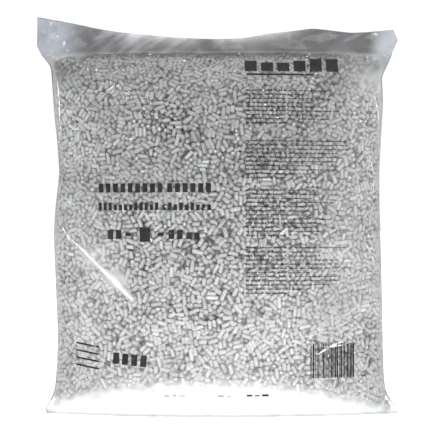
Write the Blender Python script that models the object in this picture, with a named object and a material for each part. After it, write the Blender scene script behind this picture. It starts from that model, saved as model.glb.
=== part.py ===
"""A clear film sack of loose cat litter pellets, standing upright on its settled base.

The sack is one length of blown film tube, welded straight across at both ends. Filled, the tube swells
into a pillow that is narrower than the flat tube, so the flat header above the top weld, and the two
ends of the bottom weld on the floor, stick out at the sides as ears. The pellets inside are one closed
solid. The front faces -Y, and the origin is on the floor under the middle of the sack.
"""

import math

import bmesh
import bpy

# Film tube
LAY_FLAT = 0.461  # width of the tube pressed flat, which is also the width of the header
FILM = 0.00015  # one ply of film
EDGE_CREASE = 0.0006  # the tube's creased side edges, where the two plies lie together

# Heights above the floor
WELD_LOW = 0.4555  # lower edge of the top weld: the room inside ends here
WELD_HIGH = 0.4590  # upper edge of the top weld: the two plies of the header start here
PELLETS_TOP = 0.4500  # the pellets reach nearly to the weld

# Room left round the pellets
TOUCH_GAP = 0.0005  # between the film and the pellets that rest on it
PILLOW_HALF_WIDTH = 0.2070  # what sticks out further than this near the ends is an ear
SIDE_AIR = 0.0065  # the sharp side edges of the pillow hold no pellets
EAR_AIR = 0.0240  # nor do the ears

# Vents in the back panel, which let air out of the welded sack when it is stacked
VENT_RADIUS = 0.0015
VENT_SPACING = 0.140
VENT_HEIGHT = 0.395
VENT_REACH = 0.030

# Outlines, as (height, distance) stops joined by a smooth curve
LEFT_EDGE = (
    (0.000, 0.2165),
    (0.005, 0.2190),
    (0.012, 0.2160),
    (0.024, 0.2090),
    (0.045, 0.2060),
    (0.090, 0.2035),
    (0.170, 0.2060),
    (0.235, 0.2085),
    (0.306, 0.2010),
    (0.385, 0.2080),
    (0.4395, 0.2120),
    (0.4435, 0.2145),
    (0.4610, 0.2282),
    (0.4640, LAY_FLAT / 2),
    (0.5050, LAY_FLAT / 2),
)
RIGHT_EDGE = (
    (0.000, 0.2265),
    (0.005, LAY_FLAT / 2),
    (0.010, 0.2280),
    (0.018, 0.2195),
    (0.030, 0.2140),
    (0.050, 0.2120),
    (0.120, 0.2100),
    (0.200, 0.2080),
    (0.290, 0.2055),
    (0.365, 0.2085),
    (0.395, 0.2105),
    (0.4275, 0.2090),
    (0.4335, 0.2118),
    (0.4690, 0.2282),
    (0.4740, LAY_FLAT / 2),
    (0.4900, 0.2240),
)
HALF_DEPTH = (
    (0.0000, 0.0420),
    (0.0040, 0.0520),
    (0.0140, 0.0620),
    (0.0350, 0.0690),
    (0.0700, 0.0725),
    (0.1400, 0.0735),
    (0.2400, 0.0710),
    (0.3300, 0.0660),
    (0.3900, 0.0580),
    (0.4250, 0.0440),
    (0.4460, 0.0230),
    (WELD_LOW, 0.0060),
    (WELD_HIGH, FILM),
)
TOP_EDGE = (  # from the left corner to the right one, as (distance from the middle, height)
    (-0.2305, 0.5040),
    (-0.1800, 0.4945),
    (-0.1168, 0.4832),
    (-0.0533, 0.4780),
    (0.0150, 0.4750),
    (0.0480, 0.4802),
    (0.0990, 0.4859),
    (0.1200, 0.4892),
    (0.1500, 0.4860),
    (0.1770, 0.4834),
    (0.2000, 0.4855),
    (0.2305, 0.4885),
)

# Shape of a level section: half depth times (1 - u ** FLATNESS) ** POINT, where u runs from 0 in the
# middle to 1 at the side edge. A larger POINT draws the side edge out into a thinner wedge.
FLATNESS = 2.3
BODY_POINT = 0.70
FLOOR_POINT = 1.20
HEADER_POINT = 0.15
FLOOR_BLEND = 0.040  # height at which the wedge of the floor ears has blended into the body
AROUND = 44  # points round a section
BODY_LEVELS = (
    0.0, 0.0025, 0.005, 0.010, 0.018, 0.030, 0.045, 0.070, 0.105, 0.145, 0.185, 0.225, 0.265,
    0.305, 0.345, 0.375, 0.395, 0.415, 0.4275, 0.4335, 0.4395, 0.4435, 0.450, WELD_LOW,
)  # fmt: skip
HEADER_STEPS = (0.0, 0.15, 0.5, 1.0)  # shares of the way from the weld to the top edge


def along(stops, at):
    """The value at one place on a smooth curve through (place, value) stops."""
    if at <= stops[0][0]:
        return stops[0][1]
    if at >= stops[-1][0]:
        return stops[-1][1]
    last = len(stops) - 1
    i = next(n for n in range(last) if at <= stops[n + 1][0])
    span = stops[i + 1][0] - stops[i][0]
    rise = stops[i + 1][1] - stops[i][1]

    def slope(n):
        """The curve's slope at a stop: flat at a peak or dip, otherwise limited so it can't overshoot."""
        if n in (0, last):
            return rise / span
        before = (stops[n][1] - stops[n - 1][1]) / (stops[n][0] - stops[n - 1][0])
        after = (stops[n + 1][1] - stops[n][1]) / (stops[n + 1][0] - stops[n][0])
        return 0.0 if before * after <= 0 else 2 * before * after / (before + after)

    s = (at - stops[i][0]) / span
    return (
        (2 * s**3 - 3 * s**2 + 1) * stops[i][1]
        + (s**3 - 2 * s**2 + s) * span * slope(i)
        + (3 * s**2 - 2 * s**3) * stops[i + 1][1]
        + (s**3 - s**2) * span * slope(i + 1)
    )


def ring(left, right, half_depth, point, height):
    """One closed section as points. height is a number, or a function of the distance from the middle."""
    points = []
    for k in range(AROUND):
        turn = 2 * math.pi * k / AROUND
        u = math.cos(turn)
        x = (right - left) / 2 + u * (right + left) / 2
        y = math.copysign(half_depth * max(1 - abs(u) ** FLATNESS, 0) ** point, math.sin(turn))
        points.append((x, y, height(x) if callable(height) else height))
    return points


def body_ring(z, inwards=0.0, side=0.0, ear=0.0):
    """A section of the swollen pillow, drawn in from the outer face of the film by these distances."""
    small_step = 1e-4
    steepness = (along(HALF_DEPTH, z + small_step) - along(HALF_DEPTH, z)) / small_step
    near_floor = max(1 - z / FLOOR_BLEND, 0) ** 2
    left, right = along(LEFT_EDGE, z), along(RIGHT_EDGE, z)
    if ear:  # the ears are the part of the outline that flares out past the pillow's own sides
        left = min(left, max(PILLOW_HALF_WIDTH, left - ear))
        right = min(right, max(PILLOW_HALF_WIDTH, right - ear))
    return ring(
        left - side,
        right - side,
        along(HALF_DEPTH, z) - inwards * math.hypot(1, steepness),
        BODY_POINT + (FLOOR_POINT - BODY_POINT) * near_floor,
        z,
    )


def header_ring(share):
    """A section of the flat header, at this share of the way from the weld up to the top edge."""

    def height(x):
        return WELD_HIGH + share * (along(TOP_EDGE, x) - WELD_HIGH)

    left = along(LEFT_EDGE, height(-LAY_FLAT / 2))
    right = along(RIGHT_EDGE, height(LAY_FLAT / 2))
    return ring(left, right, FILM, HEADER_POINT, height)


def loft(name, rings, collection, material=None):
    """A closed solid through a stack of sections that have the same number of points."""
    bm = bmesh.new()
    stack = [[bm.verts.new(p) for p in points] for points in rings]
    for low, high in zip(stack, stack[1:]):
        for k in range(AROUND):
            j = (k + 1) % AROUND
            bm.faces.new((low[k], low[j], high[j], high[k]))
    for end in (stack[0], stack[-1]):  # each end is closed from the front points across to the back ones
        for k in range(AROUND // 2):
            corners = (end[k], end[k + 1], end[AROUND - k - 1], end[-k])
            bm.faces.new(list(dict.fromkeys(corners)))
    bmesh.ops.recalc_face_normals(bm, faces=bm.faces)
    mesh = bpy.data.meshes.new(name)
    bm.to_mesh(mesh)
    bm.free()
    mesh.shade_smooth()
    mesh.set_sharp_from_angle(angle=math.radians(50))
    obj = bpy.data.objects.new(name, mesh)
    collection.objects.link(obj)
    if material:
        mesh.materials.append(material)
    return obj


def cut(obj, cutter):
    """Takes the cutter's shape out of an object, and shows the cutter only as a wire."""
    cutter.hide_render = True
    cutter.display_type = "WIRE"
    modifier = obj.modifiers.new("cut_" + cutter.name, "BOOLEAN")
    modifier.operation = "DIFFERENCE"
    modifier.solver = "EXACT"
    modifier.object = cutter


def plain_material(name, colour, roughness, alpha=1.0):
    material = bpy.data.materials.new(name)
    material.use_nodes = True
    shader = material.node_tree.nodes["Principled BSDF"]
    shader.inputs["Base Color"].default_value = (*colour, 1)
    shader.inputs["Roughness"].default_value = roughness
    shader.inputs["Metallic"].default_value = 0.0
    shader.inputs["Alpha"].default_value = alpha
    return material


def new_collection(name):
    collection = bpy.data.collections.new(name)
    bpy.context.scene.collection.children.link(collection)
    return collection


def vent_pin(name, x, collection):
    """A round pin through the back panel, from the room inside to the open air."""
    bm = bmesh.new()
    bmesh.ops.create_cone(
        bm,
        cap_ends=True,
        segments=16,
        radius1=VENT_RADIUS,
        radius2=VENT_RADIUS,
        depth=2 * VENT_REACH,
    )
    mesh = bpy.data.meshes.new(name)
    bm.to_mesh(mesh)
    bm.free()
    pin = bpy.data.objects.new(name, mesh)
    pin.location = (x, along(HALF_DEPTH, VENT_HEIGHT), VENT_HEIGHT)
    pin.rotation_euler = (math.radians(90), 0, 0)
    collection.objects.link(pin)
    return pin


def film_sack(parts, cutters):
    """The film: pillow, top weld and header in one piece, hollow below the weld, with two vents."""
    film = plain_material("clear_film", (0.86, 0.87, 0.87), 0.18, alpha=0.3)
    outside = [body_ring(z) for z in BODY_LEVELS]
    outside += [header_ring(share) for share in HEADER_STEPS]
    sack = loft("film_sack", outside, parts, film)

    inside = [body_ring(max(z, FILM), FILM, EDGE_CREASE) for z in BODY_LEVELS]
    cut(sack, loft("room_inside", inside, cutters))
    for side in (-1, 1):
        cut(sack, vent_pin(f"vent_pin_{side + 1}", side * VENT_SPACING / 2, cutters))


def pellet_charge(parts):
    """The heap of loose pellets, as one solid that fills the pillow but not its sharp edges or ears."""
    pale_wood = plain_material("pale_pellets", (0.55, 0.54, 0.51), 0.75)
    inset = FILM + TOUCH_GAP
    levels = [z for z in BODY_LEVELS if inset < z < PELLETS_TOP]
    heights = [inset, *levels, PELLETS_TOP]
    heap = [body_ring(z, inset, SIDE_AIR, EAR_AIR) for z in heights]
    loft("pellet_charge", heap, parts, pale_wood)


def main():
    for obj in list(bpy.data.objects):
        bpy.data.objects.remove(obj)
    parts = new_collection("cat_litter_bag")
    cutters = new_collection("cutters")
    film_sack(parts, cutters)
    pellet_charge(parts)


main()
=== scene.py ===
"""The looks of a clear film sack of cat litter pellets: film, print and pellets round the CAD frame.

The pellets are packed one by one under the film, the film is drawn down over them, and the print is laid
on the film. Everything is in metres, with the front towards -Y and the floor at z = 0.
"""

import math

import bpy
import numpy as np
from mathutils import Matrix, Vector
from mathutils.bvhtree import BVHTree


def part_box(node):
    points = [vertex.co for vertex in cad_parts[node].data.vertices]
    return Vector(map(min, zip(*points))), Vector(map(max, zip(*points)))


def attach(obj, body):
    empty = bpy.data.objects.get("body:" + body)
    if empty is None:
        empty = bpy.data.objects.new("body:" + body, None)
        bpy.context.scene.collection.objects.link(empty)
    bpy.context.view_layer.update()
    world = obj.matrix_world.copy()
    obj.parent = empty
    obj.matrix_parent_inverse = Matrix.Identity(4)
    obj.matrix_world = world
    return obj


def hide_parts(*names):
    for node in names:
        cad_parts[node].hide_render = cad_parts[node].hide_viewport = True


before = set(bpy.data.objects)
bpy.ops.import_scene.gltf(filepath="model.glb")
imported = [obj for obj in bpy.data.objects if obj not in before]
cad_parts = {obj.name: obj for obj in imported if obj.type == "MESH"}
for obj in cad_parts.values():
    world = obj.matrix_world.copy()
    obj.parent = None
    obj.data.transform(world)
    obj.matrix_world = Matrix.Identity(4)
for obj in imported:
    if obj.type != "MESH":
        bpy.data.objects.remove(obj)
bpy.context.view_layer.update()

rng = np.random.default_rng(12)
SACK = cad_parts["film_sack"]
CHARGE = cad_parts["pellet_charge"]
(SACK_LOW, SACK_HIGH) = (np.array(corner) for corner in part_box("film_sack"))
(CHARGE_LOW, CHARGE_HIGH) = (np.array(corner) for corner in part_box("pellet_charge"))
HALF_WIDTH = (SACK_HIGH[0] - SACK_LOW[0]) / 2
WELD = CHARGE_HIGH[2] + 0.0090  # the top weld's upper edge is this far above the pellets

# Camera: level with the middle of the sack, and far off with a long lens, as a product is shot
VIEW_WIDTH = 0.5525  # what the picture spans at the middle of the sack
VIEW_HEIGHT = 0.2490
CAMERA_AWAY = 2.20
SENSOR = 0.036

# Pellets
PELLET_RADIUS = 0.0030
PELLET_SHORT, PELLET_USUAL, PELLET_LONG = 0.0052, 0.0095, 0.0160
PELLET_COUNT = 16400
BED_DEPTH = 0.0135  # how deep the loose pellets go under the film; a plain core fills the rest
ROUNDS = 90
PRESS_OUT = 0.00003  # how far each round presses the pellets towards the film
SPRING = 1.25  # how much of an overlap each round clears
SIDES = 6
CHAMFER = 0.0006
END_SLANT = 0.0013  # the snapped ends slant by up to this much
END_ROUGHNESS = 0.00018
FILM_GAP = 0.0004
# Painted shade: the pellets are drawn dark in step with how deep they lie under the film.
BURIED_FROM, BURIED_TO = 0.0008, 0.0068  # depths over which the pellets get darker
CORE_OVERLAP = 0.003  # how far the core reaches into the bed of pellets

# Film
JUST_IN = 2e-4  # rays stay this far inside the sack's edges
SPACING_LEVEL = 0.2  # the film's columns are spaced evenly at this height
CELL = 0.0024  # size of the film's mesh cells
CLEAR_OF_PELLETS = 0.00025
RAY_START = 0.004
DEEPEST_SINK = 0.0026  # how far the film sinks between the pellets
HEADER_ROWS = 18
HEADER_PLY = 0.0004  # half the gap between the two plies of the header
FLOOR_STRIPS = 24  # rows of faces across the base
PUCKER_RISE, GATHER_RISE, SLACK_RISE = 0.0011, 0.0012, 0.0004
WAVE_RISE, SMALL_WAVE_RISE, FOLD_RISE, EAR_WRINKLE_RISE, PLY_WAVE = 0.0036, 0.0006, 0.0012, 0.0009, 0.0005

# What lies on the film
INK_CLEAR, CREASE_CLEAR = 0.00030, 0.00045  # how far the print and the painted crease highlights stand off the film
BAR_STEP, BAR_STEP_UP = 0.0012, 0.0016  # a shape follows the film in steps this long, along and up
INK_GAP_AT_HIGHLIGHT = 0.35  # where a crease's painted highlight is whiter than this, the ink is left out
VENT_RADIUS, VENT_OUT, VENT_UP = 0.0015, 0.070, 0.395
DISC_SIDES = 12

# Soft boxes, as name, place, target, size and power
MIDDLE = (0, 0, 0.25)
LIGHTS = (
    ("top_box", (0, -0.6, 2.2), MIDDLE, (2.4, 1.6), 16),
    ("left_box", (-2.0, -0.6, 0.7), MIDDLE, (1.4, 1.6), 7),
    ("right_box", (2.0, -0.5, 0.6), MIDDLE, (1.4, 1.6), 7),
    ("back_box", (0, 2.2, 1.2), MIDDLE, (2.0, 1.6), 14),
    ("low_front_box", (0, -0.38, 0.012), (0, 0, 0.05), (0.9, 0.2), 1.4),
    ("front_box", (0.5, -2.0, 0.15), (0, 0, 0.10), (1.2, 0.5), 6),
    ("low_back_box", (0, 0.38, 0.012), (0, 0, 0.05), (0.9, 0.2), 1.3),
    ("key_light", (-0.9, -1.6, 1.5), MIDDLE, (0.25, 0.25), 4),
)
SEEN_GLOW, LIT_GLOW = 1.05, 0.92  # the backdrop as the camera sees it, and as it lights the object
FLOOR_GLOW = 0.75
FLOOR_SIZE = 30.0
FLOOR_DROP = 0.0002


# ---------------------------------------------------------------- small helpers

def mesh_object(name, points, faces, smooth=True):
    """A mesh object from points and faces, where faces is a list or an array of equal faces."""
    mesh = bpy.data.meshes.new(name)
    mesh.from_pydata([tuple(p) for p in points], [], [tuple(f) for f in faces])
    mesh.validate()
    if smooth:
        mesh.shade_smooth()
    obj = bpy.data.objects.new(name, mesh)
    bpy.context.scene.collection.objects.link(obj)
    return obj


def paint(obj, name, colours):
    """Stores a colour for each vertex, for the material to read."""
    layer = obj.data.color_attributes.new(name, "FLOAT_COLOR", "POINT")
    layer.data.foreach_set("color", np.asarray(colours, dtype=np.float32).ravel())


def tree_of(obj):
    """A mesh made ready for rays."""
    mesh = obj.data
    points = [v.co for v in mesh.vertices]
    return BVHTree.FromPolygons(points, [tuple(p.vertices) for p in mesh.polygons])


def blur(grid, passes, axis=None):
    """Evens out a grid of values, keeping its border rows and columns."""
    out = np.array(grid, dtype=float)
    for _ in range(passes):
        for a in (0, 1) if axis is None else (axis,):
            before, after = np.roll(out, 1, a), np.roll(out, -1, a)
            mixed = (before + 2 * out + after) / 4
            edge = [slice(None)] * out.ndim
            edge[a] = slice(1, -1)
            out[tuple(edge)] = mixed[tuple(edge)]
    return out


def step(x, low, high):
    """0 below low, 1 above high, and a smooth rise between them."""
    t = np.clip((x - low) / (high - low), 0, 1)
    return t * t * (3 - 2 * t)


def ripples(x, y, size, seed):
    """Smooth uneven values of about -1 to 1, with features of this size."""
    local = np.random.default_rng(seed)
    total = np.zeros(np.broadcast(x, y).shape)
    for _ in range(9):
        angle, phase = local.uniform(0, 2 * math.pi, 2)
        pitch = size * local.uniform(0.6, 1.7)
        total += np.sin((x * math.cos(angle) + y * math.sin(angle)) * 2 * math.pi / pitch + phase)
    return total / 4


# ---------------------------------------------------------------- the outline, felt on the CAD sack

sack_tree = tree_of(SACK)


def reach(start, direction):
    """Where a ray meets the CAD sack, or None."""
    return sack_tree.ray_cast(Vector(start), Vector(direction))[0]


def side_edges(heights):
    """The sack's left and right edges at each height."""
    near_middle = 5e-5
    left = [reach((-1, near_middle, z), (1, 0, 0)).x for z in heights]
    right = [reach((1, near_middle, z), (-1, 0, 0)).x for z in heights]
    return np.array(left), np.array(right)


SIDE_Z = np.linspace(JUST_IN, WELD, 160)
LEFT_X, RIGHT_X = side_edges(SIDE_Z)
TOP_X = np.linspace(SACK_LOW[0] + JUST_IN, SACK_HIGH[0] - 8e-3, 240)
TOP_Z = blur(np.array([reach((x, 0, 1), (0, 0, -1)).z for x in TOP_X]), 4, 0)


def half_depths(xs, z):
    """Half the sack's depth at each of these places along one level."""
    depths = []
    for x in xs:
        hit = reach((x, -1, z), (0, 1, 0))
        depths.append(0.0 if hit is None else -hit.y)
    return depths


def even_steps(places, lengths_at, size):
    """Places spaced evenly by the length of the curve through them."""
    count = max(int(round(lengths_at[-1] / size)), 2)
    return np.interp(np.linspace(0, lengths_at[-1], count + 1), lengths_at, places)


def run_length(*axes):
    """The distance along a line of points, from its start to each point."""
    steps = np.sqrt(sum(np.diff(a) ** 2 for a in axes))
    return np.concatenate([[0], np.cumsum(steps)])


def film_grid():
    """The front half of the film as rows of points, smooth and before any wrinkle."""
    fine = np.linspace(JUST_IN, WELD, 300)
    deep = np.array([half_depths([0.0], z)[0] for z in fine])
    levels = even_steps(fine, run_length(fine, deep), CELL)
    middle = np.linspace(-1, 1, 401)
    left, right = side_edges([SPACING_LEVEL])
    xs = (left + right) / 2 + middle * (right - left) / 2
    ys = np.array(half_depths(xs, SPACING_LEVEL))
    across = even_steps(middle, run_length(xs, ys), CELL)

    left, right = side_edges(levels)
    left, right = blur(left, 3, 0), blur(right, 3, 0)
    x = (left + right)[:, None] / 2 + across[None, :] * (right - left)[:, None] / 2
    y = np.array([half_depths(row, z) for row, z in zip(x, levels)])
    y[:, 0] = y[:, -1] = 0
    y = blur(y, 6)
    z = np.repeat(levels[:, None], len(across), 1)

    rows = []
    for share in np.linspace(0, 1, HEADER_ROWS + 1)[1:]:
        side_z = [WELD + share * (TOP_Z[0] - WELD), WELD + share * (TOP_Z[-1] - WELD)]
        low = side_edges([side_z[0] - 3e-4])[0][0]
        high = side_edges([side_z[1] - 3e-4])[1][0]
        row_x = (low + high) / 2 + across * (high - low) / 2
        row_z = WELD + share * (np.interp(row_x, TOP_X, TOP_Z) - WELD)
        rows.append((row_x, np.full(len(across), HEADER_PLY), row_z))
    x = np.vstack([x] + [r[0] for r in rows])
    y = np.vstack([y] + [r[1] for r in rows])
    z = np.vstack([z] + [r[2] for r in rows])
    y = np.maximum(y, HEADER_PLY)
    joint = slice(len(levels) - 9, len(levels) + 7)
    y[joint] = blur(y[joint], 5, 0)
    return np.stack([x, -y, z], 2), across, len(levels)


def from_side(x, z):
    """How far inside the sack's nearer side edge each point lies."""
    return np.minimum(x - np.interp(z, SIDE_Z, LEFT_X), np.interp(z, SIDE_Z, RIGHT_X) - x)


# ---------------------------------------------------------------- pellets

def depth_field(grid):
    """Reads how far outside the film a point lies, and which way is out, from a box of cells of air."""
    pitch = 0.004
    coarse = grid[np.r_[0:len(grid) - 1:4, -1]][:, np.r_[0:grid.shape[1] - 1:4, -1]]
    rows, columns = coarse.shape[:2]
    rear = coarse * (1, -1, 1)
    index = np.arange(rows * columns).reshape(rows, columns)
    quads = np.stack([index[:-1, :-1], index[:-1, 1:], index[1:, 1:], index[1:, :-1]], 2).reshape(-1, 4)
    points = np.concatenate([coarse.reshape(-1, 3), rear.reshape(-1, 3)])
    floor = [(index[0, c], index[0, c + 1], index[0, c + 1] + rows * columns, index[0, c] + rows * columns)
             for c in range(columns - 1)]
    faces = quads.tolist() + (quads + rows * columns).tolist() + floor
    tree = BVHTree.FromPolygons([Vector(p) for p in points], faces)
    low = points.min(0) - 3 * pitch
    counts = np.ceil((points.max(0) - points.min(0)) / pitch).astype(int) + 7
    field = np.empty(counts)
    for i in range(counts[0]):
        for k in range(counts[2]):
            face = tree.ray_cast(Vector((low[0] + pitch * i, -1, low[2] + pitch * k)), Vector((0, 1, 0)))[0]
            half_depth = -1 if face is None else -face.y
            for j in range(counts[1]):
                place = Vector(low + pitch * np.array((i, j, k)))
                away = tree.find_nearest(place)[3]
                field[i, j, k] = -away if abs(place.y) < half_depth else away
    slopes = np.stack(np.gradient(field, pitch), 3)
    slopes /= np.maximum(np.linalg.norm(slopes, axis=3, keepdims=True), 1e-9)

    def read(points):
        """The distance outside at each point, less than 0 inside, and the way out."""
        at = np.clip((points - low) / pitch, 0, np.array(counts) - 1.001)
        base = at.astype(int)
        part = at - base
        distance = np.zeros(len(points))
        outwards = np.zeros((len(points), 3))
        for corner in np.ndindex(2, 2, 2):
            weight = np.prod(np.where(corner, part, 1 - part), axis=1)
            cell = tuple((base + corner).T)
            distance += weight * field[cell]
            outwards += weight[:, None] * slopes[cell]
        return distance, outwards

    return read


def closest_pairs(middles, reach_far):
    """Index pairs of pellets whose middles are near each other."""
    firsts, seconds = [], []
    block = 800
    points = middles.astype(np.float32)
    squares = (points**2).sum(1)
    for start in range(0, len(points), block):
        part = points[start:start + block]
        gaps = squares[start:start + block, None] + squares[None, :] - 2 * part @ points.T
        i, j = np.nonzero(gaps < reach_far**2)
        keep = i + start < j
        firsts.append(i[keep] + start)
        seconds.append(j[keep])
    return np.concatenate(firsts), np.concatenate(seconds)


def nearest_on_segments(a0, a1, b0, b1):
    """How far along each of two segments, as shares, their nearest points lie."""
    d1, d2, r = a1 - a0, b1 - b0, a0 - b0
    a = (d1 * d1).sum(1)
    e = (d2 * d2).sum(1)
    f = (d2 * r).sum(1)
    c = (d1 * r).sum(1)
    b = (d1 * d2).sum(1)
    spread = np.maximum(a * e - b * b, 1e-12)
    s = np.clip((b * f - c * e) / spread, 0, 1)
    t = np.clip((b * s + f) / e, 0, 1)
    s = np.clip((b * t - c) / a, 0, 1)
    return s, t


def pack_pellets(read):
    """Ends of each pellet's axis and its length: loose pellets pushed apart until they lie together."""
    spots = rng.uniform(SACK_LOW, (SACK_HIGH[0], SACK_HIGH[1], WELD), (PELLET_COUNT * 12, 3))
    distance, _ = read(spots)
    inside = (distance < -PELLET_RADIUS) & (distance > -BED_DEPTH)
    middles = spots[inside][:PELLET_COUNT]
    count = len(middles)
    lengths = rng.triangular(PELLET_SHORT, PELLET_USUAL, PELLET_LONG, count)
    way = rng.normal(size=(count, 3)) * (1, 0.75, 1)
    way /= np.linalg.norm(way, axis=1, keepdims=True)
    axis_half = (lengths / 2 - 0.75 * PELLET_RADIUS)[:, None]
    ends = np.stack([middles - way * axis_half, middles + way * axis_half], 1)
    for turn in range(ROUNDS):
        if turn % 10 == 0:
            i, j = closest_pairs(ends.mean(1), PELLET_LONG + 0.002)
        s, t = nearest_on_segments(ends[i, 0], ends[i, 1], ends[j, 0], ends[j, 1])
        gap = (
            ends[i, 0] * (1 - s)[:, None] + ends[i, 1] * s[:, None]
            - ends[j, 0] * (1 - t)[:, None] - ends[j, 1] * t[:, None]
        )
        apart = np.linalg.norm(gap, axis=1)
        touching = apart < 2 * PELLET_RADIUS
        ti, tj, ts, tt = i[touching], j[touching], s[touching], t[touching]
        push = gap[touching] / np.maximum(apart[touching], 1e-6)[:, None]
        push *= (2 * PELLET_RADIUS - apart[touching])[:, None] / 2
        moves = np.zeros((count, 2, 3))
        hits = np.full(count, 1e-9)
        for who, share, way in ((ti, ts, push), (tj, tt, -push)):
            for end, weight in ((0, 1 - share), (1, share)):
                spread = weight / np.maximum(share**2 + (1 - share) ** 2, 1e-6)
                for axis in range(3):
                    moves[:, end, axis] += np.bincount(who, way[:, axis] * spread, count)
            hits += np.bincount(who, minlength=count)
        ends += moves * (SPRING / np.maximum(hits, 1.6))[:, None, None]
        for end in range(2):
            outside, out = read(ends[:, end])
            over = np.maximum(outside + PELLET_RADIUS + FILM_GAP, 0)
            under = np.maximum(-outside - BED_DEPTH, 0)
            ends[:, end] += out * (under * 0.5 - over + PRESS_OUT)[:, None]
        middles = ends.mean(1, keepdims=True)
        half = (ends[:, 1:] - ends[:, :1]) / 2
        half *= axis_half[:, None] / np.maximum(np.linalg.norm(half, axis=2, keepdims=True), 1e-9)
        ends = np.concatenate([middles - half, middles + half], 1)
    return ends, lengths


def pellet_points(ends, lengths):
    """All pellets' vertices: a chamfered round rod with each end snapped off at a slight slant."""
    count = len(ends)
    along = ends[:, 1] - ends[:, 0]
    along /= np.linalg.norm(along, axis=1, keepdims=True)
    helper = np.where(np.abs(along[:, 2:]) < 0.8, (0, 0, 1), (1, 0, 0))
    side = np.cross(along, helper)
    side /= np.linalg.norm(side, axis=1, keepdims=True)
    up = np.cross(along, side)
    turn = 2 * math.pi * np.arange(SIDES) / SIDES
    rim = side[:, None] * np.cos(turn)[None, :, None] + up[:, None] * np.sin(turn)[None, :, None]
    radius = PELLET_RADIUS * rng.uniform(0.93, 1.03, count)[:, None, None]
    middles = ends.mean(1)[:, None]
    rings = []
    for sign in (-1, 1):
        slant = rng.uniform(0, END_SLANT, count)[:, None] * np.cos(turn + rng.uniform(0, 6.28, (count, 1)))
        rough = rng.normal(0, END_ROUGHNESS, (count, SIDES))
        far = (sign * lengths / 2)[:, None] + slant + rough
        for share, back in ((1.0, CHAMFER), (1 - CHAMFER / PELLET_RADIUS, 0.0)):
            out = (far - sign * back)[:, :, None] * along[:, None]
            rings.append(middles + out + rim * radius * share)
    return np.stack([rings[1], rings[0], rings[2], rings[3]], 1)


def pellet_faces(count):
    """The faces of one pellet, repeated for each."""
    faces = []
    for low in range(3):
        for k in range(SIDES):
            j = (k + 1) % SIDES
            a, b = low * SIDES, (low + 1) * SIDES
            faces.append((a + k, b + k, b + j, a + j))
    start = (np.arange(count) * 4 * SIDES)[:, None]
    quads = (np.array(faces)[None] + start[:, None]).reshape(-1, 4)
    near = np.arange(SIDES)[None] + start
    far = np.arange(4 * SIDES - 1, 3 * SIDES - 1, -1)[None] + start
    return quads.tolist() + near.tolist() + far.tolist()


def pellet_pieces(read):
    """The pellets as four pieces: front and back, lower and upper."""
    ends, lengths = pack_pellets(read)
    points = pellet_points(ends, lengths)
    middles = ends.mean(1)
    shade = np.clip(rng.normal(0.5, 0.2, len(ends)), 0, 1)
    warm = rng.uniform(0, 1, len(ends))
    pieces = []
    split = (CHARGE_LOW[2] + CHARGE_HIGH[2]) / 2
    for name, here in (
        ("pellets_front_low", (middles[:, 1] < 0) & (middles[:, 2] < split)),
        ("pellets_front_high", (middles[:, 1] < 0) & (middles[:, 2] >= split)),
        ("pellets_back_low", (middles[:, 1] >= 0) & (middles[:, 2] < split)),
        ("pellets_back_high", (middles[:, 1] >= 0) & (middles[:, 2] >= split)),
    ):
        chosen = points[here]
        obj = mesh_object(name, chosen.reshape(-1, 3), pellet_faces(len(chosen)))
        obj.data.set_sharp_from_angle(angle=math.radians(62))
        # painted shade: each vertex is darkened by how deep it lies under the film
        depth = -read(chosen.reshape(-1, 3))[0]
        buried = step(depth, BURIED_FROM, BURIED_TO)
        shades, warmths = (np.repeat(values[here], 4 * SIDES) for values in (shade, warm))
        paint(obj, "tone_and_shade", np.stack([shades, warmths, buried, np.ones(len(buried))], 1))
        obj.data.materials.append(pellet_material())
        pieces.append(obj)
    return pieces


# ---------------------------------------------------------------- materials

MATERIALS = {}


def new_material(name):
    """An empty material, kept by its name."""
    material = bpy.data.materials.new(name)
    material.use_nodes = True
    nodes = material.node_tree.nodes
    nodes.clear()
    MATERIALS[name] = material
    return material, nodes, material.node_tree.links


def add(nodes, kind, **values):
    """A node with some of its properties or inputs set."""
    node = nodes.new("ShaderNode" + kind)
    for key, value in values.items():
        if key in node.inputs:
            node.inputs[key].default_value = value
        else:
            setattr(node, key, value)
    return node


def mix_colour(nodes, links, factor, a, b, blend="MIX"):
    """A colour mix. factor, a and b are sockets or plain values."""
    node = nodes.new("ShaderNodeMix")
    node.data_type = "RGBA"
    node.blend_type = blend
    for socket, value in ((node.inputs[0], factor), (node.inputs[6], a), (node.inputs[7], b)):
        if isinstance(value, bpy.types.NodeSocket):
            links.new(value, socket)
        else:
            socket.default_value = value
    return node.outputs[2]


def maths(nodes, links, operation, *values):
    """A sum of sockets or plain values."""
    node = nodes.new("ShaderNodeMath")
    node.operation = operation
    for socket, value in zip(node.inputs, values):
        if isinstance(value, bpy.types.NodeSocket):
            links.new(value, socket)
        else:
            socket.default_value = value
    return node.outputs[0]


def ramp(nodes, links, source, stops):
    """A colour ramp of (place, grey or colour) stops."""
    node = nodes.new("ShaderNodeValToRGB")
    links.new(source, node.inputs[0])
    points = node.color_ramp.elements
    while len(points) < len(stops):
        points.new(1.0)
    for point, (place, colour) in zip(points, stops):
        point.position = place
        point.color = (colour, colour, colour, 1) if isinstance(colour, (int, float)) else (*colour, 1)
    return node.outputs[0]


def noise(nodes, links, coordinates, scale, detail=3.0, roughness=0.55):
    node = add(nodes, "TexNoise", Scale=scale, Detail=detail, Roughness=roughness)
    links.new(coordinates, node.inputs["Vector"])
    return node.outputs["Fac"]


def bump(nodes, links, height, strength, distance):
    node = add(nodes, "Bump", Strength=strength, Distance=distance)
    links.new(height, node.inputs["Height"])
    return node.outputs["Normal"]


def show(nodes, links, shader):
    """Makes this shader the material's surface."""
    output = nodes.new("ShaderNodeOutputMaterial")
    links.new(shader.outputs[0], output.inputs[0])


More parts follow.
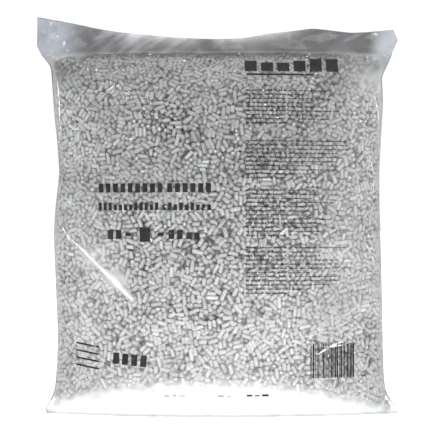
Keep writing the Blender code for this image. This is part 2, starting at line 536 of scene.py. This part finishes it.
def pellet_material():
    """Pale grey pressed wood: each pellet a grey of its own, mottled and slightly glazed by the press, and
    darkened by painted shade the deeper it lies under the film.
    """
    if "pale_pellets" in MATERIALS:
        return MATERIALS["pale_pellets"]
    material, nodes, links = new_material("pale_pellets")
    place = nodes.new("ShaderNodeTexCoord").outputs["Object"]
    tone_and_shade = add(nodes, "Attribute", attribute_name="tone_and_shade")
    parts = nodes.new("ShaderNodeSeparateColor")
    links.new(tone_and_shade.outputs["Color"], parts.inputs[0])
    shade, warm, buried = parts.outputs[0], parts.outputs[1], parts.outputs[2]
    grey = ramp(nodes, links, shade, [(0.0, 0.52), (0.5, 0.68), (1.0, 0.82)])
    warmths = [(0.0, (0.97, 0.99, 1.0)), (0.6, (1.0, 1.0, 0.99)), (1.0, (1.0, 0.975, 0.93))]
    warmth = ramp(nodes, links, warm, warmths)
    colour = mix_colour(nodes, links, 1.0, grey, warmth, "MULTIPLY")
    # painted shade, growing the deeper the pellet lies under the film
    painted_depth_shade = ramp(nodes, links, buried, [(0.0, 1.0), (0.30, 0.66), (1.0, 0.20)])
    colour = mix_colour(nodes, links, 1.0, colour, painted_depth_shade, "MULTIPLY")
    mottle = ramp(nodes, links, noise(nodes, links, place, 420.0, 4.0), [(0.3, 0.82), (0.7, 1.08)])
    colour = mix_colour(nodes, links, 1.0, colour, mottle, "MULTIPLY")
    specks = ramp(nodes, links, noise(nodes, links, place, 1500.0, 2.0), [(0.28, 0.65), (0.40, 1.0)])
    colour = mix_colour(nodes, links, 0.7, colour, specks, "MULTIPLY")
    shader = add(nodes, "BsdfPrincipled", Roughness=0.6)
    links.new(colour, shader.inputs["Base Color"])
    rough = ramp(nodes, links, noise(nodes, links, place, 700.0), [(0.3, 0.5), (0.7, 0.8)])
    links.new(rough, shader.inputs["Roughness"])
    grain = bump(nodes, links, noise(nodes, links, place, 1100.0, 5.0), 0.5, 0.0004)
    links.new(grain, shader.inputs["Normal"])
    show(nodes, links, shader)
    return material


def core_shade_material():
    """Painted shade: the pellets deep in the heap, coloured nearly black so that they show only as dark
    gaps between the outer ones.
    """
    material, nodes, links = new_material("deep_pellets_painted_shade")
    place = nodes.new("ShaderNodeTexCoord").outputs["Object"]
    cells = add(nodes, "TexVoronoi", Scale=110.0)
    links.new(place, cells.inputs["Vector"])
    colour = ramp(nodes, links, cells.outputs["Distance"], [(0.3, 0.16), (0.7, 0.08)])
    shader = add(nodes, "BsdfPrincipled", Roughness=0.8)
    links.new(colour, shader.inputs["Base Color"])
    links.new(bump(nodes, links, cells.outputs["Distance"], 0.6, 0.003), shader.inputs["Normal"])
    show(nodes, links, shader)
    return material


def film_material():
    """Clear film: the vertex colour says how much each place hides, how dark it is and how blue; much of
    that darkness and whiteness is painted shade and painted light.
    """
    material, nodes, links = new_material("clear_film")
    place = nodes.new("ShaderNodeTexCoord").outputs["Object"]
    state = add(nodes, "Attribute", attribute_name="state")
    parts = nodes.new("ShaderNodeSeparateColor")
    links.new(state.outputs["Color"], parts.inputs[0])
    cover, dark, blue = parts.outputs[0], parts.outputs[1], parts.outputs[2]
    cloud = ramp(nodes, links, noise(nodes, links, place, 60.0, 4.0), [(0.3, 0.8), (0.7, 1.15)])
    cover = maths(nodes, links, "MULTIPLY", cover, cloud)
    cover = maths(nodes, links, "MINIMUM", cover, 0.97)
    greys = [(0.0, (0.95, 0.95, 0.95)), (0.5, (0.45, 0.46, 0.47)), (1.0, (0.13, 0.13, 0.135))]
    colour = ramp(nodes, links, dark, greys)
    tint = ramp(nodes, links, blue, [(0.0, (1.0, 1.0, 1.0)), (1.0, (0.84, 0.90, 1.0))])
    colour = mix_colour(nodes, links, 1.0, colour, tint, "MULTIPLY")
    clear = add(nodes, "BsdfTransparent", Color=(0.97, 0.975, 0.98, 1))
    scatter = nodes.new("ShaderNodeBsdfDiffuse")
    through = nodes.new("ShaderNodeBsdfTranslucent")
    links.new(colour, scatter.inputs["Color"])
    links.new(colour, through.inputs["Color"])
    haze = add(nodes, "MixShader", Fac=0.35)
    links.new(scatter.outputs[0], haze.inputs[1])
    links.new(through.outputs[0], haze.inputs[2])
    body = nodes.new("ShaderNodeMixShader")
    links.new(cover, body.inputs[0])
    links.new(clear.outputs[0], body.inputs[1])
    links.new(haze.outputs[0], body.inputs[2])
    small = noise(nodes, links, place, 260.0, 3.0)
    large = noise(nodes, links, place, 70.0, 2.0)
    height = maths(nodes, links, "ADD", small, large)
    crinkle = bump(nodes, links, height, 0.5, 0.0008)
    shine = add(nodes, "BsdfAnisotropic", Roughness=0.14)
    links.new(crinkle, shine.inputs["Normal"])
    mirror = add(nodes, "Fresnel", IOR=1.5)
    links.new(crinkle, mirror.inputs["Normal"])
    surface = nodes.new("ShaderNodeMixShader")
    links.new(mirror.outputs[0], surface.inputs[0])
    links.new(body.outputs[0], surface.inputs[1])
    links.new(shine.outputs[0], surface.inputs[2])
    show(nodes, links, surface)
    return material


def ink_material():
    """Black print on the film, slightly worn through."""
    material, nodes, links = new_material("black_ink")
    place = nodes.new("ShaderNodeTexCoord").outputs["Object"]
    worn = ramp(nodes, links, noise(nodes, links, place, 500.0, 3.0), [(0.35, 0.90), (0.6, 1.0)])
    shader = add(nodes, "BsdfPrincipled", Roughness=0.5)
    colour = ramp(nodes, links, noise(nodes, links, place, 90.0), [(0.3, 0.004), (0.7, 0.016)])
    shader.inputs["Specular IOR Level"].default_value = 0.2
    links.new(colour, shader.inputs["Base Color"])
    links.new(worn, shader.inputs["Alpha"])
    show(nodes, links, shader)
    return material


def crease_material():
    """Painted highlight: film creased so sharply that it shines white, drawn as a strip laid on the film.
    """
    material, nodes, links = new_material("crease_highlight_painted")
    place = nodes.new("ShaderNodeTexCoord").outputs["Object"]
    worn = ramp(nodes, links, noise(nodes, links, place, 160.0, 3.0), [(0.36, 0.08), (0.62, 0.72)])
    shader = add(nodes, "BsdfPrincipled", Roughness=0.25)
    whites = [(0.3, (0.86, 0.90, 0.95)), (0.7, (0.95, 0.96, 0.97))]
    colour = ramp(nodes, links, noise(nodes, links, place, 90.0), whites)
    links.new(colour, shader.inputs["Base Color"])
    links.new(worn, shader.inputs["Alpha"])
    show(nodes, links, shader)
    return material


def floor_material():
    """A white floor that glows a little, so that it melts into the backdrop."""
    material, nodes, links = new_material("white_floor")
    shader = add(nodes, "BsdfPrincipled", Roughness=0.6)
    shader.inputs["Base Color"].default_value = (0.9, 0.9, 0.9, 1)
    shader.inputs["Emission Color"].default_value = (1, 1, 1, 1)
    shader.inputs["Emission Strength"].default_value = FLOOR_GLOW
    show(nodes, links, shader)
    return material


# ---------------------------------------------------------------- creases and veils in the film

# Creases in the front panel, as (start x, start z, end x, end z, bow, width, rise, whiteness of the painted
# highlight)
CREASES = (
    (-0.193, 0.2310, -0.100, 0.1420, 0.001, 0.0026, 0.0018, 0.75),
    (-0.146, 0.1880, -0.100, 0.1420, 0.001, 0.0050, 0.0022, 0.80),
    (-0.180, 0.2400, -0.140, 0.1980, 0.002, 0.0030, 0.0010, 0.25),
    (0.126, 0.0960, 0.199, 0.1370, -0.004, 0.0030, 0.0012, 0.30),
    (0.060, 0.2330, 0.110, 0.2520, 0.003, 0.0030, 0.0008, 0.25),
)

# Painted highlights along sharp creases, as (x, z) at each end, bow and width
STREAKS = (
    (-0.200, 0.2420, -0.184, 0.2180, 0.001, 0.0018),
    (-0.192, 0.2300, -0.116, 0.1570, 0.001, 0.0015),
    (-0.197, 0.1430, -0.158, 0.1200, 0.004, 0.0012),
    (-0.190, 0.1180, -0.150, 0.0900, 0.006, 0.0010),
    (-0.184, 0.1060, -0.146, 0.0790, 0.006, 0.0009),
    (-0.201, 0.2800, -0.178, 0.2560, 0.002, 0.0010),
    (-0.198, 0.3300, -0.180, 0.3160, -0.002, 0.0010),
    (0.076, 0.2260, 0.088, 0.2360, 0.001, 0.0016),
    (0.086, 0.2260, 0.080, 0.2340, 0.001, 0.0012),
    (0.104, 0.2160, 0.163, 0.2460, -0.004, 0.0010),
    (0.138, 0.1110, 0.196, 0.1460, -0.006, 0.0012),
    (0.160, 0.1180, 0.186, 0.1340, 0.009, 0.0013),
    (0.162, 0.1170, 0.188, 0.1190, -0.006, 0.0011),
    (0.104, 0.0990, 0.150, 0.1060, 0.003, 0.0009),
    (0.122, 0.0780, 0.160, 0.0960, 0.002, 0.0024),
    (0.128, 0.0890, 0.164, 0.0930, -0.002, 0.0014),
    (0.197, 0.4040, 0.203, 0.3660, 0.002, 0.0016),
    (0.190, 0.3300, 0.196, 0.2800, 0.003, 0.0012),
    (0.182, 0.2200, 0.198, 0.1840, 0.003, 0.0011),
    (-0.2030, 0.4240, -0.1990, 0.3740, 0.001, 0.0013),
    (-0.2000, 0.3940, -0.1960, 0.3500, -0.001, 0.0010),
)

# Cloudy places in the front panel, as (x, z, half width, half height, cover, darkness); a darkness above 0
# is painted shade and one below 0 is painted light
VEILS_AND_SHADE = (
    (0.184, 0.425, 0.028, 0.034, 0.22, -0.30),
    (-0.200, 0.428, 0.020, 0.020, 0.42, 0.10),
    (0.200, 0.435, 0.016, 0.016, 0.35, 0.00),
    (0.162, 0.270, 0.040, 0.150, 0.10, -0.22),
    (-0.170, 0.130, 0.050, 0.110, 0.06, -0.22),
    (-0.172, 0.250, 0.040, 0.075, 0.14, 0.10),
    (-0.170, 0.110, 0.045, 0.050, 0.08, 0.05),
    (0.150, 0.140, 0.050, 0.028, 0.18, 0.12),
    (-0.105, 0.300, 0.050, 0.022, 0.12, 0.22),
    (0.060, 0.330, 0.070, 0.050, 0.05, 0.25),
    (0.182, 0.232, 0.020, 0.028, 0.10, 0.30),
    (-0.152, 0.200, 0.020, 0.015, 0.20, -0.25),
    (-0.122, 0.170, 0.018, 0.015, 0.30, -0.28),
    (0.146, 0.205, 0.030, 0.022, 0.14, -0.10),
    (0.140, 0.120, 0.030, 0.018, 0.16, 0.00),
)


def crease_field(x, z):
    """How strongly each place lies on a crease: the film's rise there, and the whiteness of the painted
    highlight along it.
    """
    rise = np.zeros(x.shape)
    white = np.zeros(x.shape)
    for x0, z0, x1, z1, bow, width, height, pale in CREASES:
        run = math.hypot(x1 - x0, z1 - z0)
        ux, uz = (x1 - x0) / run, (z1 - z0) / run
        share = ((x - x0) * ux + (z - z0) * uz) / run
        off = (z - z0) * ux - (x - x0) * uz - bow * np.sin(math.pi * np.clip(share, 0, 1))
        taper = step(share, -0.03, 0.3) * step(1 - share, -0.03, 0.22)
        rise += height * taper * np.exp(-((off / width) ** 2))
        white += pale * taper * np.exp(-((off / (0.62 * width)) ** 2))
    return rise, np.clip(white, 0, 1) * (0.78 + 0.22 * np.clip(ripples(x, z, 0.018, 26), -1, 1))


def veil_and_shade_field(x, z):
    """Cover that the cloudy places add, and the painted shade and light there."""
    cover = np.zeros(x.shape)
    dark = np.zeros(x.shape)
    for x0, z0, wide, tall, more, darker in VEILS_AND_SHADE:
        near = np.exp(-(((x - x0) / wide) ** 2) - ((z - z0) / tall) ** 2)
        cover += more * near
        dark += darker * near
    return cover, dark


# ---------------------------------------------------------------- film

def grid_normals(grid):
    """Unit normals of a grid of points, outwards on the front."""
    across = np.gradient(grid, axis=1)
    upwards = np.gradient(grid, axis=0)
    normal = np.cross(across, upwards)
    return normal / np.maximum(np.linalg.norm(normal, axis=2, keepdims=True), 1e-12)


def pellet_tops(grid, normals, trees):
    """How high the pellets stand above the smooth film at each point: below 0 where they lie under it."""
    tops = np.full(grid.shape[:2], -DEEPEST_SINK)
    for r in range(grid.shape[0]):
        for c in range(grid.shape[1]):
            start = Vector(grid[r, c] + normals[r, c] * RAY_START)
            into = Vector(-normals[r, c])
            for tree in trees:
                distance = tree.ray_cast(start, into, RAY_START + DEEPEST_SINK)[3]
                if distance is not None:
                    tops[r, c] = max(tops[r, c], RAY_START - distance)
    return tops


def widest(grid):
    """Each value raised to the largest of itself and its eight neighbours."""
    out = grid
    for axis in (0, 1):
        out = np.maximum(out, np.maximum(np.roll(out, 1, axis), np.roll(out, -1, axis)))
    return out


def film_half(grid, across, body_rows, pellet_trees, back):
    """The front or the back half of the film: drawn down over the pellets, slack, puckered and creased."""
    rows, columns = grid.shape[:2]
    x, z = grid[:, :, 0], grid[:, :, 2]
    half = grid.copy()
    if back:
        half[:, :, 1] *= -1
    normals = grid_normals(half) * (-1 if back else 1)
    in_body = step(WELD - z, 0.004, 0.02) * step(z, 0.0, 0.012)
    inner = step(1 - np.abs(across), 0.0, 0.05)[None, :] * np.ones((rows, 1))
    tops = np.full((rows, columns), -DEEPEST_SINK)
    body = slice(2, body_rows)
    tops[body] = pellet_tops(half[body], normals[body], pellet_trees)
    crowns = blur(widest(tops), 1) + CLEAR_OF_PELLETS
    lift = np.minimum(crowns, 0) * in_body * inner
    # puckers that run down from the top weld and up from the floor, and slack over the whole panel
    down = np.clip(WELD - z, 0, 1)
    pucker = ripples(x, z * 0.12, 0.016, 5 + back) * np.exp(-down / 0.022) * step(down, 0.0, 0.006)
    gather = ripples(x, z * 0.2, 0.022, 7 + back) * np.exp(-z / 0.03) * step(z, 0.0, 0.012)
    slack = ripples(x, z, 0.07, 9 + back)
    lift += (PUCKER_RISE * pucker + GATHER_RISE * gather + SLACK_RISE * slack) * inner * (z < WELD)
    if not back:
        lift += crease_field(x, z)[0]
    lift = np.maximum(lift, crowns)
    header = step(z, WELD + 0.002, WELD + 0.02)
    wave = WAVE_RISE * ripples(x + 0.6 * z, z * 0.3, 0.055, 11)
    wave += SMALL_WAVE_RISE * ripples(x, z, 0.02, 12)
    fold = ripples(x * 0.45 - 0.9 * z, z * 0.25 + x * 0.1, 0.022, 31)
    wave += FOLD_RISE * np.abs(fold)
    wave += EAR_WRINKLE_RISE * ripples(x, z * 0.25, 0.010, 14) * step(-x, 0.17, 0.20)
    half += normals * lift[:, :, None]
    ply_wave = PLY_WAVE * ripples(x, z, 0.03, 13 + back)
    half[:, :, 1] += header * (wave + (ply_wave if back else -ply_wave))
    return half


def rear_row(index, row, columns):
    """One row of the back half, from the left side edge to the right one."""
    return [index[row, 0]] + list(index[row, :columns - 1:-1]) + [index[row, columns - 1]]


def sew(*corner_rows):
    """Faces with their corners at the same places along four rows, and no corner twice."""
    faces = []
    for corners in zip(*corner_rows):
        face = list(dict.fromkeys(corners))
        if len(face) > 2:
            faces.append(face)
    return faces


def film_piece(grid, across, body_rows, pellet_trees):
    """The whole film: both halves joined at the side edges, the base and the header's trimmed edge."""
    rows, columns = grid.shape[:2]
    front, rear = (film_half(grid, across, body_rows, pellet_trees, back) for back in (0, 1))
    for column in (0, -1):  # the two halves share their side edges
        front[:, column] = (front[:, column] + rear[:, column]) / 2
    ring = np.concatenate([front, rear[:, -2:0:-1]], 1)
    count = ring.shape[1]
    points = list(ring.reshape(-1, 3))
    index = np.arange(rows * count).reshape(rows, count)
    following = np.roll(index, -1, 1)
    faces = np.stack([index[:-1], following[:-1], following[1:], index[1:]], 2).reshape(-1, 4).tolist()
    below = [list(index[0, :columns])]
    for share in np.arange(1, FLOOR_STRIPS) / FLOOR_STRIPS:
        first = len(points)
        points += list(front[0, 1:-1] * (1 - share) + rear[0, 1:-1] * share)
        below.append([index[0, 0]] + list(range(first, len(points))) + [index[0, columns - 1]])
    below.append(rear_row(index, 0, columns))
    for near, far in zip(below, below[1:]):
        faces += sew(near[:-1], far[:-1], far[1:], near[1:])
    near, far = list(index[-1, :columns]), rear_row(index, -1, columns)
    faces += sew(near[:-1], near[1:], far[1:], far[:-1])
    obj = mesh_object("film", points, faces)
    paint(obj, "state", film_state(np.array(points)))
    obj.data.materials.append(film_material())
    return obj


def header_state(x, z):
    """Cover, darkness and blueness of the header: painted shadow over most of it, painted light along
    patches of its trimmed edge, painted shade and light along soft fold lines, less painted shadow on the
    ears, and painted glints on them.
    """
    below_edge = np.interp(x, TOP_X, TOP_Z) - z
    left_ear = step(-x, 0.165, 0.208)
    right_ear = step(x, 0.188, 0.212)
    patch = np.exp(-(((x + 0.085) / 0.060) ** 4)) + 0.9 * np.exp(-(((x - 0.050) / 0.055) ** 4))
    lit_edge = np.exp(-np.clip(below_edge, 0, 1) / 0.0075) * patch
    slope = ripples(x * 0.62 - z * 0.78, (x * 0.78 + z * 0.62) * 0.22, 0.013, 31)
    fold_shade = np.clip(slope, -1, 1) * np.exp(-(((x + 0.105) / 0.060) ** 2))
    wave_shade = ripples(x * 0.5 - z * 0.4, z * 0.3, 0.040, 33)
    # painted shadow, lifted by painted light along the edge and striped by painted shade and light of the
    # fold lines
    dark_header = 0.98 - 0.60 * lit_edge + 0.22 * fold_shade + 0.07 * wave_shade
    dark_header -= 0.34 * left_ear + 0.42 * right_ear
    header_cover = 0.86 - 0.22 * lit_edge - 0.14 * left_ear - 0.22 * right_ear
    # painted glints on the crinkled ears
    glint = step(ripples(x, z * 0.7, 0.0075, 41), 0.98, 1.30) * left_ear
    glint = np.maximum(glint, step(ripples(x, z, 0.012, 42), 0.95, 1.30) * right_ear)
    dark_header -= 0.9 * glint
    header_cover += 0.2 * glint
    return header_cover, dark_header, np.maximum(left_ear, 0.7 * right_ear)


def film_state(points):
    """For each point of the film: red how much it hides, green how dark it is, blue how blue it is."""
    x, y, z = points.T
    front = step(-y, -0.002, 0.002)
    blotch = ripples(x * 0.7, z, 0.035, 22)
    cover = 0.05 + 0.03 * np.clip(ripples(x, z, 0.09, 21), -1, 1) + 0.04 * np.clip(blotch, -1, 1)
    dark = np.full(len(points), 0.30)
    more, darker = veil_and_shade_field(x, z)
    cover += more * front
    dark += darker * front
    under_weld = step(z, 0.385, 0.452)  # painted shade: the film darkens towards the weld, and hides a little more there, where it is drawn together
    cover += 0.12 * under_weld
    dark += 0.60 * under_weld
    side = step(np.abs(x), HALF_WIDTH - 0.036, HALF_WIDTH - 0.021) * step(z, 0.02, 0.06)
    cover += 0.34 * side
    dark += 0.05 * side * (1 - under_weld)
    # below this arch the film turns under towards the floor: it is whitened by painted glare, with some
    # real haze from the gathered film
    floor_line = 0.043 - 0.029 * (x / 0.2) ** 2 - 0.003 * (x / 0.2) + 0.0022 * ripples(x, z, 0.012, 24)
    painted_glare = step(floor_line + 0.042 - z, 0.0, 0.050)
    cover += 0.26 * painted_glare
    dark *= 1 - 0.95 * painted_glare
    white = step(floor_line - z, -0.019, 0.015)
    cover = np.maximum(cover, 0.95 * white)
    dark *= 1 - white
    # painted shadow: a thin dark line along the base where the film meets the floor
    dark += 0.30 * white * np.exp(-((z - 0.002) / 0.0022) ** 2)
    # less painted glare on the corner flaps, which stay greyer
    flap = white * step(np.abs(x), 0.200, 0.220)
    cover -= 0.20 * flap
    dark += 0.45 * flap
    rim = np.exp(-((from_side(x, z) / 0.0013) ** 2)) * step(WELD - z, 0, 0.02)
    cover += 0.35 * rim
    dark += 0.30 * rim
    # painted highlight along the creases
    pale = crease_field(x, z)[1] * front
    cover += (0.92 - cover) * pale
    dark *= 1 - pale

    in_header = step(z, WELD - 0.012, WELD + 0.003)
    header_cover, header_dark, header_blue = header_state(x, z)
    cover = cover * (1 - in_header) + in_header * header_cover
    dark = dark * (1 - in_header) + in_header * header_dark
    blue = in_header * header_blue + 0.25 * white
    ones = np.ones(len(points))
    return np.stack([np.clip(cover, 0, 1), np.clip(dark, 0, 1), np.clip(blue, 0, 1), ones], 1)


# ---------------------------------------------------------------- print

class Press:
    """Lays small flat shapes on the film: on its front, or on its back where facing is 1."""

    def __init__(self, film, clear_of_film, facing=-1):
        self.tree = tree_of(film)
        self.clear_of_film = clear_of_film
        self.facing = facing
        self.points = []
        self.faces = []

    def on_film(self, x, z):
        """The place just off the film at x, z."""
        start = Vector((x, 0.3 * self.facing, z))
        hit, normal, _, _ = self.tree.ray_cast(start, Vector((0, -self.facing, 0)))
        if normal.y * self.facing < 0:
            normal = -normal
        return hit + normal * self.clear_of_film

    def bar(self, x, z, width, height, tilt=0.0):
        """A filled bar with its lower left corner at x, z, turned by tilt about that corner."""
        cells = max(int(width / BAR_STEP), 1)
        tall = max(int(height / BAR_STEP_UP), 1)
        cos, sin = math.cos(tilt), math.sin(tilt)
        first = len(self.points)
        for r in range(tall + 1):
            for c in range(cells + 1):
                dx, dz = width * c / cells, height * r / tall
                self.points.append(self.on_film(x + dx * cos - dz * sin, z + dx * sin + dz * cos))
        for r in range(tall):
            for c in range(cells):
                a = first + r * (cells + 1) + c
                dx, dz = width * (c + 0.5) / cells, height * (r + 0.5) / tall
                spot = np.array((x + dx * cos - dz * sin, z + dx * sin + dz * cos))
                # the ink is left out where the painted crease highlight is bright
                if crease_field(*spot[:, None])[1][0] < INK_GAP_AT_HIGHLIGHT:
                    self.faces.append((a, a + 1, a + cells + 2, a + cells + 1))

    def word(self, x, z, blocks, width, height, tilt=0.0, even=False):
        """A word-long run of plain blocks that spans this width."""
        gap = 0.38 * width / blocks
        block = (width + gap) / blocks - gap
        cos, sin = math.cos(tilt), math.sin(tilt)
        for n in range(blocks):
            at = n * (block + gap)
            tall = height * (1.0 if even else rng.choice((0.74, 0.74, 1.0)))
            self.bar(x + at * cos, z + at * sin, block, tall, tilt)

    def line(self, x, z, width, height, tilt=0.0):
        """A line of small print, as words of random lengths."""
        at = 0.0
        cos, sin = math.cos(tilt), math.sin(tilt)
        while at < width - height:
            blocks = int(rng.integers(2, 9))
            long = min(blocks * height * 0.8, width - at)
            self.word(x + at * cos, z + at * sin, blocks, long, height, tilt)
            at += long + height * 1.1

    def streak(self, x0, z0, x1, z1, bow, width):
        """A narrow curved streak that tapers to a point at both ends."""
        run = math.hypot(x1 - x0, z1 - z0)
        ux, uz = (x1 - x0) / run, (z1 - z0) / run
        cells = max(int(run / BAR_STEP), 2)
        first = len(self.points)
        for n in range(cells + 1):
            share = n / cells
            arch = math.sin(math.pi * share)
            for side in (-1, 1):
                off = bow * arch + side * width * (0.02 + arch**0.6) / 2
                x = x0 + run * share * ux - off * uz
                z = z0 + run * share * uz + off * ux
                self.points.append(self.on_film(x, z))
        for n in range(cells):
            a = first + 2 * n
            self.faces.append((a, a + 2, a + 3, a + 1))

    def disc(self, x, z, radius):
        """A small filled disc."""
        first = len(self.points)
        for n in range(DISC_SIDES):
            turn = 2 * math.pi * n / DISC_SIDES
            self.points.append(self.on_film(x + radius * math.cos(turn), z + radius * math.sin(turn)))
        self.faces.append(tuple(range(first, first + DISC_SIDES)))

    def finish(self, name, material):
        """The shapes laid so far, as one object."""
        obj = mesh_object(name, self.points, self.faces, smooth=False)
        obj.data.materials.append(material)
        return obj


def printing(film):
    """The print on the front: plain blocks, lines and stripes that say nothing."""
    press = Press(film, INK_CLEAR)
    # heading, three rows left of the middle
    for x, z, blocks, width, height, even in (
        (-0.148, 0.2800, 9, 0.080, 0.0112, True),
        (-0.0620, 0.2800, 6, 0.054, 0.0112, True),
        (-0.148, 0.2580, 12, 0.075, 0.0095, False),
        (-0.0680, 0.2580, 9, 0.060, 0.0095, False),
        (-0.136, 0.2225, 2, 0.017, 0.0112, True),
        (-0.114, 0.2260, 1, 0.007, 0.0040, True),
        (-0.096, 0.2190, 1, 0.013, 0.0180, True),
        (-0.074, 0.2260, 1, 0.008, 0.0040, True),
        (-0.060, 0.2225, 2, 0.017, 0.0112, True),
        (-0.038, 0.2225, 2, 0.016, 0.0112, False),
    ):
        press.word(x, z, blocks, width, height, 0.0, even)
    # the bold item and four short lines low on the left, which sag with the film
    press.word(-0.130, 0.0680, 4, 0.042, 0.0140, math.radians(-5), True)
    for n in range(4):
        press.bar(-0.177, 0.0915 - 0.0090 * n, 0.030, 0.0020, math.radians(-9))
    # what shows of a line that the floor fold carries out of sight
    for x, width, height in (
        (-0.066, 0.007, 0.0009),
        (-0.055, 0.004, 0.0012),
        (-0.047, 0.007, 0.0009),
        (0.000, 0.008, 0.0011),
        (0.012, 0.005, 0.0009),
        (0.036, 0.007, 0.0022),
        (0.046, 0.006, 0.0016),
        (0.055, 0.008, 0.0026),
    ):
        press.bar(x, 0.0285, width, height)
    # the plain band at the top right, with a thin rule under it
    for n, share in enumerate((1.0, 0.82, 0.82, 1.0, 1.2, 1.2)):
        press.bar(0.034 + 0.0205 * n, 0.4320, 0.0150, 0.0140 * share)
    press.bar(0.036, 0.4265, 0.084, 0.0022)
    # small print in four blocks
    for top, lines in ((0.4060, 9), (0.3430, 10), (0.2820, 12), (0.2110, 12)):
        for n in range(lines):
            press.line(0.035, top - 0.0051 * n, 0.050, 0.0023)
            if n < lines - 1:
                press.line(0.088, top - 0.0051 * n, 0.075 * rng.uniform(0.30, 1.0), 0.0017)
    # stripes in the place of a bar code, of random widths that encode nothing
    at = 0.0
    while at < 0.056:
        stripe = rng.choice((0.0006, 0.0010, 0.0016))
        press.bar(0.115 + at, 0.0500, stripe, 0.0430)
        at += stripe + rng.choice((0.0008, 0.0012, 0.0018))
    return press.finish("front_print", ink_material())


def vents(film):
    """The two punched vents of the back panel, drawn as dots in the nearly black painted-shade colour of
    the core.
    """
    press = Press(film, INK_CLEAR, facing=1)
    for x in (-VENT_OUT, VENT_OUT):
        press.disc(x, VENT_UP, VENT_RADIUS)
    return press.finish("back_vents", MATERIALS["deep_pellets_painted_shade"])


def painted_crease_highlights(film):
    """Painted highlights: strips laid on the film along the sharp creases."""
    press = Press(film, CREASE_CLEAR)
    for streak in STREAKS:
        press.streak(*streak)
    return press.finish("painted_crease_highlights", crease_material())


# ---------------------------------------------------------------- stage, light and camera

def floor_piece():
    """The plain floor, which is not a part of the object."""
    points = [(x * FLOOR_SIZE, y * FLOOR_SIZE, 0) for x, y in ((-1, -1), (1, -1), (1, 1), (-1, 1))]
    obj = mesh_object("floor", points, [(0, 1, 2, 3)], smooth=False)
    obj.location.z = -FLOOR_DROP
    obj.data.materials.append(floor_material())


def softbox(name, place, target, size, power):
    """A soft rectangular light aimed at a target."""
    light = bpy.data.lights.new(name, "AREA")
    light.shape = "RECTANGLE"
    light.size, light.size_y = size
    light.energy = power
    obj = bpy.data.objects.new(name, light)
    obj.location = place
    obj.rotation_euler = (Vector(target) - Vector(place)).to_track_quat("-Z", "Y").to_euler()
    obj.visible_camera = False
    bpy.context.scene.collection.objects.link(obj)


def lighting():
    """A white backdrop and soft boxes all round."""
    world = bpy.data.worlds.new("studio")
    bpy.context.scene.world = world
    world.use_nodes = True
    nodes, links = world.node_tree.nodes, world.node_tree.links
    nodes.clear()
    seen = add(nodes, "Background", Color=(1, 1, 1, 1), Strength=SEEN_GLOW)
    lit = add(nodes, "Background", Color=(1, 1, 1, 1), Strength=LIT_GLOW)
    path = nodes.new("ShaderNodeLightPath")
    choice = nodes.new("ShaderNodeMixShader")
    links.new(path.outputs["Is Camera Ray"], choice.inputs[0])
    links.new(lit.outputs[0], choice.inputs[1])
    links.new(seen.outputs[0], choice.inputs[2])
    output = nodes.new("ShaderNodeOutputWorld")
    links.new(choice.outputs[0], output.inputs[0])
    for light in LIGHTS:
        softbox(*light)


def camera():
    """A level camera on the front, framed as the photograph is."""
    data = bpy.data.cameras.new("camera")
    data.sensor_width = SENSOR * 1000
    data.lens = SENSOR * 1000 * CAMERA_AWAY / VIEW_WIDTH
    obj = bpy.data.objects.new("camera", data)
    obj.location = (0, -CAMERA_AWAY, VIEW_HEIGHT)
    obj.rotation_euler = (math.radians(90), 0, 0)
    bpy.context.scene.collection.objects.link(obj)
    bpy.context.scene.camera = obj


def core_piece():
    """The middle of the heap, shrunk from the CAD solid to lie under the loose pellets."""
    mesh = CHARGE.data.copy()
    obj = bpy.data.objects.new("pellet_core", mesh)
    bpy.context.scene.collection.objects.link(obj)
    mesh.materials.clear()
    mesh.materials.append(core_shade_material())
    centre = (CHARGE_LOW + CHARGE_HIGH) / 2
    size = CHARGE_HIGH - CHARGE_LOW
    under = BED_DEPTH - CORE_OVERLAP
    shrink = 1 - 2 * under / size
    for vertex in mesh.vertices:
        x, _, z = centre + (np.array(vertex.co) - centre) * shrink
        vertex.co = (x, math.copysign(max(abs(vertex.co.y) - under, 0.0005), vertex.co.y), z)
    return obj


def main():
    """Builds every piece and hangs them all under one root."""
    scene = bpy.context.scene
    scene.view_settings.view_transform = "Standard"
    camera()
    lighting()
    floor_piece()
    grid, across, body_rows = film_grid()
    pellets = pellet_pieces(depth_field(grid[:body_rows]))
    core = core_piece()
    film = film_piece(grid, across, body_rows, [tree_of(p) for p in pellets])
    ink = printing(film)
    creases = painted_crease_highlights(film)
    holes = vents(film)
    for piece in pellets + [core]:
        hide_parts("pellet_charge")
    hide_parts("film_sack")
    for piece in pellets + [core, film, ink, creases, holes]:
        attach(piece, "root")


main()
